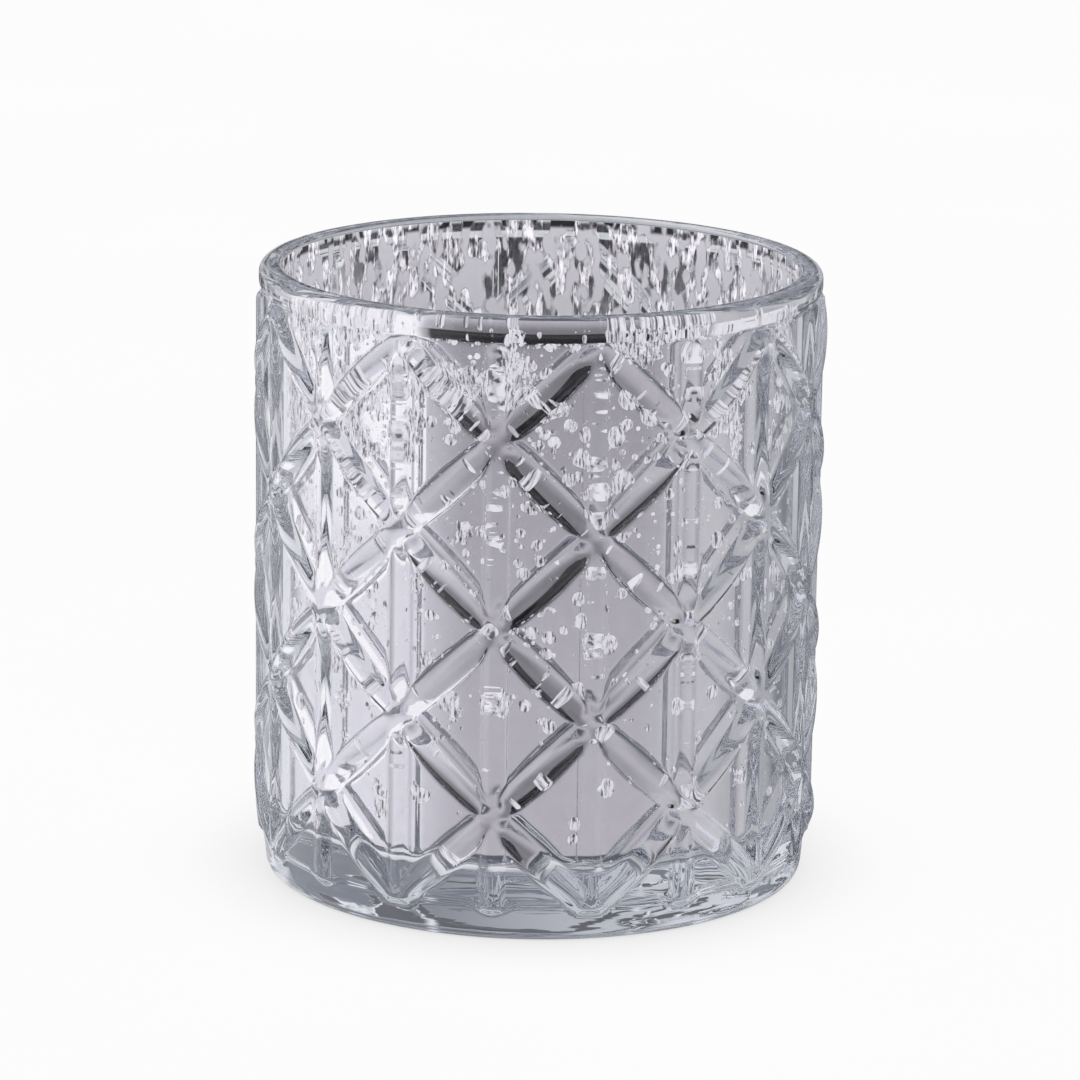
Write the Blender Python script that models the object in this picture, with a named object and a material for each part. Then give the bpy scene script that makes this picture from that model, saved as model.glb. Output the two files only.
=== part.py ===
"""A mercury-glass tealight holder with its tealight.

Units are metres. The origin is the centre of the underside and +Z is up. The front is -Y.
The tumbler is pressed glass with a lattice of raised ribs: upright ribs on evenly spaced
columns, and slanted ribs that run from node to node of the lattice. A silver coating lines
its inside, and a standard tealight stands on the floor of the well.
"""

from math import cos, pi, radians, sin, sqrt

import bpy
from mathutils import Vector

MM = 0.001
GAP = 0.3 * MM  # air left between two pieces that touch on the real object

# Driving dimensions of the tumbler
HEIGHT = 80.0 * MM
LIP_RADIUS = 36.3 * MM  # outermost radius of the plain lip
WELL_RADIUS = 33.3 * MM  # inner wall of the glass
FLOOR_HEIGHT = 8.0 * MM  # top of the thick base
WELL_CORNER = 3.0 * MM  # rounding between inner wall and floor
NECK_RADIUS = 35.85 * MM  # the slight waist just under the lip
NECK_HEIGHT = 77.4 * MM

# Foot of the tumbler
FOOT_RADIUS = 35.1 * MM  # plain ring under the pattern
FOOT_TOP = 2.9 * MM
FOOT_ROUNDING = 1.6 * MM
PUNT_RADIUS = 24.0 * MM  # shallow hollow in the middle of the underside
PUNT_SLOPE = 2.5 * MM
PUNT_DEPTH = 0.8 * MM

# Lattice of ribs
COLUMNS = 18  # upright ribs, an even number
FIRST_COLUMN = radians(11.93)  # measured from the front (-Y) towards +X
LOWEST_NODE = 4.3 * MM
HALF_PITCH = 12.0 * MM  # height between nodes of neighbouring columns
ROWS = 6  # half pitches from the lowest to the highest node
FIELD_RADIUS = 35.7 * MM  # plain diamond facets between the ribs
UPRIGHT_HEIGHT = 0.85 * MM
UPRIGHT_HALF_WIDTH = 1.5 * MM
SLANT_HEIGHT = 1.6 * MM  # at mid span
SLANT_NODE_HEIGHT = 0.7 * MM  # where slanted ribs meet
SLANT_HALF_WIDTH = 2.0 * MM  # at mid span
SLANT_END_HALF_WIDTH = 0.8 * MM
CELL_STEPS = (0.0, 0.12, 0.36, 0.64, 0.88)  # mesh lines of a lattice cell, as fractions

# Silver coating
LINING_THICKNESS = 0.3 * MM
LINING_TOP = 78.6 * MM
LINING_SEGMENTS = 60

# Tealight
CUP_RADIUS = 19.0 * MM  # over the rim
CUP_SIDE_RADIUS = 18.4 * MM
CUP_HEIGHT = 16.0 * MM
CUP_WALL = 0.3 * MM
CUP_CORNER = 1.2 * MM
RIM_RADIUS = 0.45 * MM  # rolled rim
WAX_TOP = 12.2 * MM  # above the underside of the cup
WAX_CORNER = 1.0 * MM
TEALIGHT_SEGMENTS = 48
DISC_RADIUS = 6.4 * MM
DISC_THICKNESS = 0.3 * MM
COLLAR_RADIUS = 1.55 * MM
COLLAR_WALL = 0.3 * MM
COLLAR_HEIGHT = 4.0 * MM
WICK_RADIUS = 0.8 * MM
WICK_TOP = 17.6 * MM
WICK_LEAN = 1.3 * MM
SMALL_SEGMENTS = 24

# Straight pieces of an arc
ARC_STEPS = 4
LIP_STEPS = 7
RIM_STEPS = 10


def clear_scene():
    for old in list(bpy.data.objects):
        bpy.data.objects.remove(old, do_unlink=True)


def make_material(name, colour, roughness, metallic=0.0, transmission=0.0):
    material = bpy.data.materials.new(name)
    material.use_nodes = True
    shader = material.node_tree.nodes["Principled BSDF"]
    shader.inputs["Base Color"].default_value = (*colour, 1.0)
    shader.inputs["Roughness"].default_value = roughness
    shader.inputs["Metallic"].default_value = metallic
    shader.inputs["Transmission Weight"].default_value = transmission
    return material


def arc(centre_r, centre_z, radius, start, end, steps=ARC_STEPS):
    """Points (r, z) of an arc; angles in degrees, 0 pointing outwards and 90 up."""
    points = []
    for step in range(steps + 1):
        angle = radians(start + (end - start) * step / steps)
        points.append((centre_r + radius * cos(angle), centre_z + radius * sin(angle)))
    return points


def even_angles(segments):
    return [2 * pi * index / segments for index in range(segments)]


def column_angles():
    """Angles of the mesh lines that run up the tumbler, column by column."""
    pitch = 2 * pi / COLUMNS
    return [
        FIRST_COLUMN + pitch * (column + step)
        for column in range(COLUMNS)
        for step in CELL_STEPS
    ]


def round_ring(angles, radius, height):
    """A level ring of points; angle 0 is the front (-Y) and grows towards +X."""
    return [Vector((radius * sin(a), -radius * cos(a), height)) for a in angles]


def turned_rings(angles, profile):
    return [round_ring(angles, radius, height) for radius, height in profile]


def slanted_rib(across, along):
    """Height of a slanted rib at lattice distances across and along it."""
    span = sin(pi * (along % 1.0))
    half_width = SLANT_END_HALF_WIDTH + (SLANT_HALF_WIDTH - SLANT_END_HALF_WIDTH) * span
    crest = SLANT_NODE_HEIGHT + (SLANT_HEIGHT - SLANT_NODE_HEIGHT) * span
    cell_width = FIELD_RADIUS * 2 * pi / COLUMNS
    to_metres = cell_width * HALF_PITCH / sqrt(cell_width**2 + HALF_PITCH**2)
    distance = abs((across + 1.0) % 2.0 - 1.0) * to_metres
    return crest * max(0.0, 1.0 - (distance / half_width) ** 2)


def upright_rib(column):
    """Height of the nearest upright rib, for a position counted in columns."""
    distance = abs((column + 0.5) % 1.0 - 0.5) * FIELD_RADIUS * 2 * pi / COLUMNS
    return UPRIGHT_HEIGHT * max(0.0, 1.0 - (distance / UPRIGHT_HALF_WIDTH) ** 2)


def lattice_radius(column, row):
    """Radius of the ribbed wall, for a position counted in columns and half pitches."""
    rising = slanted_rib(column - row, (column + row) / 2)
    falling = slanted_rib(column + row, (column - row) / 2)
    return FIELD_RADIUS + max(rising, falling, upright_rib(column))


def lattice_rings(angles):
    rings = []
    rows = [row + step for row in range(ROWS) for step in CELL_STEPS] + [float(ROWS)]
    for row in rows:
        height = LOWEST_NODE + row * HALF_PITCH
        ring = []
        for angle in angles:
            column = (angle - FIRST_COLUMN) * COLUMNS / (2 * pi)
            radius = lattice_radius(column, row)
            ring.append(Vector((radius * sin(angle), -radius * cos(angle), height)))
        rings.append(ring)
    return rings


def underside_profile():
    """From the middle of the underside out to the foot's side."""
    inner = [(PUNT_RADIUS - PUNT_SLOPE, PUNT_DEPTH), (PUNT_RADIUS, 0.0)]
    rounding = arc(FOOT_RADIUS - FOOT_ROUNDING, FOOT_ROUNDING, FOOT_ROUNDING, -90, 0)
    return inner + rounding + [(FOOT_RADIUS, FOOT_TOP)]


def lip_profile():
    """From the neck over the rounded lip to the top of the inner wall."""
    bead = (LIP_RADIUS - WELL_RADIUS) / 2
    rounding = arc(LIP_RADIUS - bead, HEIGHT - bead, bead, -30, 180, LIP_STEPS)
    return [(NECK_RADIUS, NECK_HEIGHT)] + rounding


def well_profile(radius, floor, corner):
    """From the inner wall round the corner to the floor."""
    return arc(radius - corner, floor + corner, corner, 0, -90)


def side_faces(rings, split_rising):
    """Faces between neighbouring rings, as corner index tuples.

    split_rising tells, for a ring and a segment, which diagonal halves the square there:
    True for lower left to upper right, False for the other one, None to keep it whole.
    """
    count = len(rings[0])
    faces = []
    for level in range(len(rings) - 1):
        for segment in range(count):
            after = (segment + 1) % count
            a = level * count + segment
            b = level * count + after
            c = (level + 1) * count + after
            d = (level + 1) * count + segment
            rising = split_rising(level, segment)
            if rising is None:
                faces.append((a, b, c, d))
            elif rising:
                faces += [(a, b, c), (a, c, d)]
            else:
                faces += [(a, b, d), (b, c, d)]
    return faces


def keep_whole(level, segment):
    return None


def stack_mesh(name, rings, split_rising=keep_whole, capped=True):
    """A closed mesh from rings that start at one end of the axis and end at the other.

    Without caps, the last ring joins the first one, as on a tube.
    """
    count = len(rings[0])
    points = [point for ring in rings for point in ring]
    faces = side_faces(rings, split_rising)
    last = (len(rings) - 1) * count
    if capped:
        faces.append(tuple(reversed(range(count))))
        faces.append(tuple(range(last, last + count)))
    else:
        for segment in range(count):
            after = (segment + 1) % count
            faces.append((last + segment, last + after, after, segment))
    mesh = bpy.data.meshes.new(name)
    mesh.from_pydata(points, [], faces)
    mesh.shade_smooth()
    mesh.set_sharp_from_angle(angle=radians(40))
    return mesh


def place(name, mesh, material, parent):
    mesh.materials.append(material)
    piece = bpy.data.objects.new(name, mesh)
    piece.parent = parent
    bpy.context.collection.objects.link(piece)
    return piece


def make_pivot(name, height):
    pivot = bpy.data.objects.new(name, None)
    pivot.location = (0, 0, height)
    bpy.context.collection.objects.link(pivot)
    return pivot


def make_glass_body(parent):
    angles = column_angles()
    below = turned_rings(angles, underside_profile())
    ribbed = lattice_rings(angles)
    lip = turned_rings(angles, lip_profile())
    well = turned_rings(angles, well_profile(WELL_RADIUS, FLOOR_HEIGHT, WELL_CORNER))
    steps = len(CELL_STEPS)

    def follow_ribs(level, segment):
        """Halve each square of the ribbed wall along its cell's slanted rib."""
        row_step = level - len(below)
        if not 0 <= row_step < len(ribbed) - 1:
            return None
        return (row_step // steps + segment // steps) % 2 == 0

    mesh = stack_mesh("glass_body", below + ribbed + lip + well, follow_ribs)
    glass = make_material("clear_glass", (0.93, 0.96, 0.96), 0.03, transmission=1.0)
    return place("glass_body", mesh, glass, parent)


def make_silver_lining(parent):
    angles = even_angles(LINING_SEGMENTS)
    outer_radius = WELL_RADIUS - GAP
    outer_floor = FLOOR_HEIGHT + GAP
    inner_radius = outer_radius - LINING_THICKNESS
    inner_floor = outer_floor + LINING_THICKNESS
    inner_corner = WELL_CORNER - LINING_THICKNESS
    outside = list(reversed(well_profile(outer_radius, outer_floor, WELL_CORNER)))
    top = [(outer_radius, LINING_TOP), (inner_radius, LINING_TOP)]
    inside = well_profile(inner_radius, inner_floor, inner_corner)
    mesh = stack_mesh("silver_lining", turned_rings(angles, outside + top + inside))
    silver = make_material("mottled_silver", (0.72, 0.71, 0.72), 0.15, metallic=1.0)
    return place("silver_lining", mesh, silver, parent)


def make_tealight_cup(parent):
    """A pressed cup that opens upwards, with its rim rolled outwards."""
    angles = even_angles(TEALIGHT_SEGMENTS)
    outside = arc(CUP_SIDE_RADIUS - CUP_CORNER, CUP_CORNER, CUP_CORNER, -90, 0)
    rim_height = CUP_HEIGHT - RIM_RADIUS
    under_rim = (CUP_SIDE_RADIUS, rim_height - 2 * RIM_RADIUS)
    rim = arc(CUP_RADIUS - RIM_RADIUS, rim_height, RIM_RADIUS, -120, 180, RIM_STEPS)
    inner_corner = CUP_CORNER - CUP_WALL
    inside = arc(CUP_SIDE_RADIUS - CUP_CORNER, CUP_CORNER, inner_corner, 0, -90)
    profile = outside + [under_rim] + rim + inside
    mesh = stack_mesh("tealight_cup", turned_rings(angles, profile))
    aluminium = make_material("aluminium", (0.80, 0.81, 0.82), 0.3, metallic=1.0)
    return place("tealight_cup", mesh, aluminium, parent)


def make_tealight_wax(parent):
    """A wax ring that fills the cup and is hollow round the wick and its sustainer."""
    angles = even_angles(TEALIGHT_SEGMENTS)
    foot = CUP_WALL + GAP
    side = CUP_SIDE_RADIUS - CUP_WALL - GAP
    wick_bore = WICK_RADIUS + GAP
    collar_bore = COLLAR_RADIUS + GAP
    collar_top = foot + COLLAR_HEIGHT + GAP
    disc_bore = DISC_RADIUS + GAP
    disc_top = foot + DISC_THICKNESS + GAP
    bore = [
        (wick_bore, collar_top),
        (collar_bore, collar_top),
        (collar_bore, disc_top),
        (disc_bore, disc_top),
        (disc_bore, foot),
    ]
    outside = arc(side - WAX_CORNER, foot + WAX_CORNER, WAX_CORNER, -90, 0)
    profile = bore + outside + [(side, WAX_TOP), (wick_bore, WAX_TOP)]
    mesh = stack_mesh("tealight_wax", turned_rings(angles, profile), capped=False)
    wax = make_material("white_wax", (0.92, 0.90, 0.85), 0.45)
    return place("tealight_wax", mesh, wax, parent)


def make_wick_sustainer(parent):
    """A thin disc with a collar that grips the wick."""
    angles = even_angles(SMALL_SEGMENTS)
    foot = CUP_WALL + GAP
    disc_top = foot + DISC_THICKNESS
    bore = COLLAR_RADIUS - COLLAR_WALL
    profile = [
        (bore, foot),
        (DISC_RADIUS, foot),
        (DISC_RADIUS, disc_top),
        (COLLAR_RADIUS, disc_top),
        (COLLAR_RADIUS, foot + COLLAR_HEIGHT),
        (bore, foot + COLLAR_HEIGHT),
    ]
    mesh = stack_mesh("wick_sustainer", turned_rings(angles, profile), capped=False)
    steel = make_material("tinned_steel", (0.70, 0.70, 0.71), 0.35, metallic=1.0)
    return place("wick_sustainer", mesh, steel, parent)


def make_wick(parent):
    """A wick that stands upright in the wax and leans over above it."""
    angles = even_angles(SMALL_SEGMENTS)
    foot = CUP_WALL + GAP
    rings = [
        round_ring(angles, WICK_RADIUS, foot),
        round_ring(angles, WICK_RADIUS, WAX_TOP),
    ]
    for step in range(1, ARC_STEPS + 1):
        rise = step / ARC_STEPS
        lean = Vector((WICK_LEAN * rise**2, 0, 0))
        height = WAX_TOP + (WICK_TOP - WAX_TOP) * rise
        rings.append([p + lean for p in round_ring(angles, WICK_RADIUS, height)])
    cotton = make_material("waxed_cotton", (0.88, 0.85, 0.78), 0.8)
    return place("wick", stack_mesh("wick", rings), cotton, parent)


def main():
    clear_scene()
    holder = make_pivot("holder", 0.0)
    make_glass_body(holder)
    make_silver_lining(holder)
    lining_top_face = FLOOR_HEIGHT + GAP + LINING_THICKNESS
    tealight = make_pivot("tealight", lining_top_face + GAP)
    make_tealight_cup(tealight)
    make_tealight_wax(tealight)
    make_wick_sustainer(tealight)
    make_wick(tealight)


main()
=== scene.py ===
"""The looks of a mercury-glass tealight holder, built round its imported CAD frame.

The tumbler is one piece of clear pressed glass whose outside carries a lattice of round-backed
ribs. A thin silver coat lines its inside: a mirror seen through the glass, a satin grey coat
seen from the well, and worn through in specks and blotches. A tealight stands in the well.
Lengths are in metres, +Z is up and the front is -Y. Angles round the axis start at the front
and grow towards +X.
"""

from math import cos, pi, radians, sin, sqrt

import bpy
import numpy as np
from mathutils import Matrix, Vector, noise


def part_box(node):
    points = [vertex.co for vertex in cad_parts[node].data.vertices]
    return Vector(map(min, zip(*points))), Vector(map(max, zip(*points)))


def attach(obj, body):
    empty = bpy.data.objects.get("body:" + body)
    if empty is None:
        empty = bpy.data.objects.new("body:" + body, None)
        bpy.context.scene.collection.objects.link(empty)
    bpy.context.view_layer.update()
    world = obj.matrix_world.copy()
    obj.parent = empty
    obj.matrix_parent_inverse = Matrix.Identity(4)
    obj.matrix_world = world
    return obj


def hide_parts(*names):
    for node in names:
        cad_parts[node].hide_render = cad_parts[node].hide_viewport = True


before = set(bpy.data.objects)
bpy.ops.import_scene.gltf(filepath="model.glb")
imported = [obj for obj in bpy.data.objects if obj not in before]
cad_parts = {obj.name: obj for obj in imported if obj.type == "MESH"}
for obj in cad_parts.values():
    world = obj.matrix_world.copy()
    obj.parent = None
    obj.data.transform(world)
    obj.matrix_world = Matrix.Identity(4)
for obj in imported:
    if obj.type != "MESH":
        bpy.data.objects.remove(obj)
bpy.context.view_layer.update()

MM = 0.001
CAD_GAP = 0.3 * MM  # what the CAD leaves between pieces that touch

# The tumbler's main sizes, from the frame
GLASS_LOW, GLASS_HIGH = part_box("glass_body")
LINING_LOW, LINING_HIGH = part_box("silver_lining")
CUP_LOW, CUP_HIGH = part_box("tealight_cup")
WAX_LOW, WAX_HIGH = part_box("tealight_wax")
WICK_LOW, WICK_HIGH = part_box("wick")
HEIGHT = GLASS_HIGH.z
CREST_RADIUS = GLASS_HIGH.y - 0.25 * MM
WELL_RADIUS = LINING_HIGH.y + CAD_GAP
WELL_FLOOR = LINING_LOW.z - CAD_GAP
WELL_CORNER = 3.0 * MM

# Lip: a plain band with a rounded top, and an underside that draws in to the pattern
LIP_RADIUS = CREST_RADIUS - 0.70 * MM
LIP_OUTER_ROUNDING = 1.3 * MM
LIP_INNER_ROUNDING = 0.6 * MM
LIP_BAND_BOTTOM = HEIGHT - 2.05 * MM
LIP_UNDERSIDE_RADIUS = 1.9 * MM
LIP_UNDERSIDE_HEIGHT = 1.1 * MM
PATTERN_TOP = LIP_BAND_BOTTOM - LIP_UNDERSIDE_HEIGHT
FADE_OUT = 0.9 * MM  # the ribs die away under the lip

# Lattice of ribs: columns round the tumbler, half pitches up it
COLUMNS = 18
FIRST_COLUMN = radians(11.93)
LOWEST_NODE = 4.3 * MM
HALF_PITCH = 12.0 * MM
ROWS = 6
FIELD_RADIUS = CREST_RADIUS - 1.12 * MM  # plain diamonds between the ribs
COLUMN_PITCH = FIELD_RADIUS * 2 * pi / COLUMNS

# Round-backed ribs: half widths, and the radius of the back as a multiple of the half width
SLANT_HALF_WIDTH = 1.85 * MM
SLANT_END_HALF_WIDTH = 1.0 * MM
SLANT_TAPER_POWER = 2.2
SLANT_BACK = 1.108
UPRIGHT_HALF_WIDTH = 1.38 * MM
UPRIGHT_BACK = 1.16
UPRIGHT_TOP = 76.4 * MM
UPRIGHT_BOTTOM = 3.4 * MM
RAMP_START = 2.5 * MM  # the ribs grow to full height over this stretch
RAMP_END = 8.5 * MM
RAMP_LEAST = 0.45

# Fillets: where a rib meets the plain field, where ribs meet, and how they widen at nodes
SLANT_FOOT_FILLET = 0.14 * MM
UPRIGHT_FOOT_FILLET = 0.30 * MM
RIB_FILLET = 0.12 * MM
NODE_FILLET = 0.5 * MM
NODE_REACH = 2.3 * MM

# Foot
FOOT_RADIUS = 35.6 * MM
FOOT_TUCK = 0.25 * MM  # how far the plain ring draws in towards the table
FOOT_ROUNDING = 1.1 * MM
STEP_HEIGHT = 4.8 * MM  # where the pattern's ground steps down to the plain ring
STEP_SOFTNESS = 0.45 * MM
STEP_DIP = 1.0 * MM
STEP_DIP_WIDTH = 2.4 * MM
PUNT_RADIUS = 25.0 * MM
PUNT_DEPTH = 0.8 * MM
FOOT_WAVE = 0.08 * MM  # the plain ring is slightly uneven
FOOT_WAVES = 7
FOOT_WAVE_PITCH = 1.1 * MM

# Limits of the lattice's formulas
NO_RIB = -1.0 * MM  # a rib height that never shows
LOWEST_ROW = -0.03  # the slanted ribs stop at the lowest nodes
BACK_LIMIT = 0.985  # keeps clear of the upright side of a rib's round back

# Mesh of the tumbler: squares each way in a lattice cell, steps of the underside's hollow,
# and the rings of a flat floor as shares of its radius
CELL_SQUARES = 25
PUNT_STEPS = 10
FLOOR_RINGS = (0.66, 0.33)

# Silver coat: hair-thin, just inside the glass, ending below the lip's inner rounding
LINING_CLEARANCE = 0.03 * MM
LINING_THICKNESS = 0.03 * MM
LINING_SEGMENTS = 234
LINING_TOP = HEIGHT - LIP_INNER_ROUNDING - 0.05 * MM
LINING_SHARP = radians(60)


def smoothstep(low, high, value):
    t = np.clip((value - low) / (high - low), 0.0, 1.0)
    return t * t * (3.0 - 2.0 * t)


def soft_max(a, b, fillet):
    """The larger of a and b, with a fillet where they cross."""
    blend = np.clip(1.0 - np.abs(a - b) / fillet, 0.0, 1.0)
    return np.maximum(a, b) + blend * blend * fillet / 4


def away_from_whole(value, period=1.0):
    """Distance to the nearest multiple of period."""
    return np.abs((value + period / 2) % period - period / 2)


def round_back(distance, half_width, back):
    """Height of a round-backed rib at a distance from its middle line, negative beyond it."""
    back_radius = back * half_width
    reach = np.minimum(distance, BACK_LIMIT * back_radius)
    return np.sqrt(back_radius**2 - reach**2) - np.sqrt(back_radius**2 - half_width**2)


def leaf_width(along, middle, end, power):
    """Half width of a rib that narrows to its ends; along runs 0 to 1."""
    shape = 1.0 - np.abs(2.0 * (along % 1.0) - 1.0) ** power
    return end + (middle - end) * shape


def node_nearness(column, row):
    """1 at the lattice's nodes, falling off to 0 over NODE_REACH."""
    rising = away_from_whole(column - row, 2.0)
    falling = away_from_whole(column + row, 2.0)
    squared = (rising**2 + falling**2) / 2 * HALF_PITCH**2
    return np.exp(-squared / NODE_REACH**2)


def slanted_ribs(column, row):
    cell_diagonal = sqrt(COLUMN_PITCH**2 + HALF_PITCH**2)
    to_metres = COLUMN_PITCH * HALF_PITCH / cell_diagonal
    fillet = RIB_FILLET + (NODE_FILLET - RIB_FILLET) * node_nearness(column, row)
    heights = []
    for lean in (1.0, -1.0):
        distance = away_from_whole(column - lean * row, 2.0) * to_metres
        width = leaf_width(
            (column + lean * row) / 2, SLANT_HALF_WIDTH, SLANT_END_HALF_WIDTH, SLANT_TAPER_POWER
        )
        heights.append(round_back(distance, width, SLANT_BACK))
    return soft_max(*heights, fillet)


def upright_ribs(column, row, z):
    across = away_from_whole(column) * COLUMN_PITCH
    nearest = np.round(column)
    beyond_top = z - (UPRIGHT_TOP - UPRIGHT_HALF_WIDTH)
    beyond_bottom = UPRIGHT_BOTTOM + UPRIGHT_HALF_WIDTH - z
    past_end = np.maximum(0.0, np.maximum(beyond_top, beyond_bottom))
    height = round_back(np.hypot(across, past_end), UPRIGHT_HALF_WIDTH, UPRIGHT_BACK)
    ends_at_node = (nearest % 2 == 0) & ((row < 0) | (row > ROWS))
    return np.where(ends_at_node, NO_RIB, height)


def ground_radius(column, z):
    """Radius of the wall without its ribs."""
    near_column = np.exp(-((away_from_whole(column) * COLUMN_PITCH / STEP_DIP_WIDTH) ** 4))
    step = STEP_HEIGHT - STEP_DIP * near_column
    foot = FOOT_RADIUS - FOOT_TUCK * (1.0 - smoothstep(FOOT_ROUNDING, STEP_HEIGHT, z))
    turn = 2 * pi * column / COLUMNS
    foot = foot - FOOT_WAVE * (0.5 + 0.5 * np.sin(FOOT_WAVES * turn + z / FOOT_WAVE_PITCH))
    body = smoothstep(step - STEP_SOFTNESS, step + STEP_SOFTNESS, z)
    return foot + (FIELD_RADIUS - foot) * body


def wall_radius(angle, z):
    column = (angle - FIRST_COLUMN) * COLUMNS / (2 * pi)
    row = (z - LOWEST_NODE) / HALF_PITCH
    node = node_nearness(column, row)
    slanted = slanted_ribs(column, row)
    slanted = np.where(row > LOWEST_ROW, slanted, NO_RIB)
    upright = upright_ribs(column, row, z)
    slanted = soft_max(slanted, 0.0, SLANT_FOOT_FILLET)
    upright = soft_max(upright, 0.0, UPRIGHT_FOOT_FILLET)
    ribs = soft_max(slanted, upright, RIB_FILLET + (NODE_FILLET - RIB_FILLET) * node)
    ramp = RAMP_LEAST + (1.0 - RAMP_LEAST) * smoothstep(RAMP_START, RAMP_END, z)
    ramp = ramp * (1.0 - smoothstep(PATTERN_TOP - FADE_OUT, PATTERN_TOP, z))
    return ground_radius(column, z) + ribs * ramp


def arc(centre_r, centre_z, radius, start, end, steps):
    """Points (r, z) of an arc; degrees, 0 pointing outwards and 90 up."""
    turns = np.radians(np.linspace(start, end, steps + 1))
    return [(centre_r + radius * cos(t), centre_z + radius * sin(t)) for t in turns]


def turned_ring(angles, radius, z):
    return np.column_stack((radius * np.sin(angles), -radius * np.cos(angles), np.full_like(angles, z)))


def turned_rings(angles, profile):
    return [turned_ring(angles, radius, z) for radius, z in profile]


def ring_stack(name, rings, capped=True, cell=None):
    """A closed mesh object from rings along the axis, all with the same number of points.

    With a cell size, each square is halved along the slanted rib of its lattice cell.
    """
    count = len(rings[0])
    points = np.concatenate(rings)
    first = np.arange(count)
    after = (first + 1) % count
    faces = []
    pairs = len(rings) - 1 if capped else len(rings)
    for level in range(pairs):
        low = level * count
        high = (level + 1) % len(rings) * count
        corners = (low + first, low + after, high + after, high + first)
        if cell is None:
            faces += np.column_stack(corners).tolist()
            continue
        a, b, c, d = corners
        rising = (np.floor(cell_row(points[low, 2], points[high, 2])) + first // cell) % 2 == 0
        lower = np.column_stack((a, b, np.where(rising, c, d)))
        upper = np.column_stack((np.where(rising, a, b), c, d))
        faces += lower.tolist() + upper.tolist()
    if capped:
        last = (len(rings) - 1) * count
        faces.append(list(range(count))[::-1])
        faces.append(list(range(last, last + count)))
    mesh = bpy.data.meshes.new(name)
    mesh.from_pydata(points.tolist(), [], faces)
    mesh.shade_smooth()
    piece = bpy.data.objects.new(name, mesh)
    bpy.context.scene.collection.objects.link(piece)
    return piece


def cell_row(low, high):
    """Which row of the lattice a pair of rings lies in."""
    return ((low + high) / 2 - LOWEST_NODE) / HALF_PITCH


def even_angles(segments):
    return np.arange(segments) * 2 * pi / segments


def underside_profile():
    """From the middle of the underside to the start of the outer wall."""
    rings = []
    for step in range(1, PUNT_STEPS + 1):
        share = step / PUNT_STEPS
        rings.append((PUNT_RADIUS * share, PUNT_DEPTH * (0.5 + 0.5 * cos(pi * share))))
    edge = FOOT_RADIUS - FOOT_TUCK - FOOT_WAVE - FOOT_ROUNDING
    rings.append(((PUNT_RADIUS + edge) / 2, 0.0))
    return rings + arc(edge, FOOT_ROUNDING, FOOT_ROUNDING, -90, -8, 6)


def lip_underside_profile():
    """From the top of the pattern out to the lip's plain band."""
    lowest = LIP_UNDERSIDE_HEIGHT / LIP_UNDERSIDE_RADIUS
    turn = np.degrees(np.arcsin(lowest))
    centre = LIP_RADIUS - LIP_UNDERSIDE_RADIUS
    return arc(centre, LIP_BAND_BOTTOM, LIP_UNDERSIDE_RADIUS, -turn, 0, 8)


def lip_profile():
    """From the plain band over the rounded top to the well."""
    outer = arc(
        LIP_RADIUS - LIP_OUTER_ROUNDING, HEIGHT - LIP_OUTER_ROUNDING, LIP_OUTER_ROUNDING, 0, 90, 10
    )
    inner = arc(
        WELL_RADIUS + LIP_INNER_ROUNDING, HEIGHT - LIP_INNER_ROUNDING, LIP_INNER_ROUNDING, 90, 180, 6
    )
    return outer + inner


def well_profile(radius, floor, corner):
    flat = radius - corner
    turn = arc(flat, floor + corner, corner, 0, -90, 8)
    return turn + [(flat * share, floor) for share in FLOOR_RINGS]


def wall_heights():
    """Levels of the pattern's rings, in step with the lattice."""
    step = HALF_PITCH / CELL_SQUARES
    first = int((FOOT_ROUNDING - LOWEST_NODE) / step)
    last = int((PATTERN_TOP - LOWEST_NODE) / step)
    return [LOWEST_NODE + level * step for level in range(first, last)]


def make_glass_body():
    angles = FIRST_COLUMN + even_angles(COLUMNS * CELL_SQUARES)
    below = turned_rings(angles, underside_profile())
    wall = []
    for z in wall_heights():
        radius = wall_radius(angles, np.full_like(angles, z))
        wall.append(turned_ring(angles, radius, z))
    lip = turned_rings(angles, lip_underside_profile() + lip_profile())
    well = turned_rings(angles, well_profile(WELL_RADIUS, WELL_FLOOR, WELL_CORNER))
    piece = ring_stack("pressed_glass_tumbler", below + wall + lip + well, cell=CELL_SQUARES)
    piece.data.materials.append(glass_material())
    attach(piece, "holder")
    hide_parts("glass_body")


def make_silver_lining():
    angles = even_angles(LINING_SEGMENTS)
    outer = WELL_RADIUS - LINING_CLEARANCE
    inner = outer - LINING_THICKNESS
    floor = WELL_FLOOR + LINING_CLEARANCE
    outside = well_profile(outer, floor, WELL_CORNER)[::-1]
    inside = well_profile(inner, floor + LINING_THICKNESS, WELL_CORNER - LINING_THICKNESS)
    profile = outside + [(outer, LINING_TOP), (inner, LINING_TOP)] + inside
    piece = ring_stack("mottled_silver_coat", turned_rings(angles, profile))
    piece.data.set_sharp_from_angle(angle=LINING_SHARP)
    piece.data.materials.append(silver_material())
    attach(piece, "holder")
    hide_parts("silver_lining")


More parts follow.
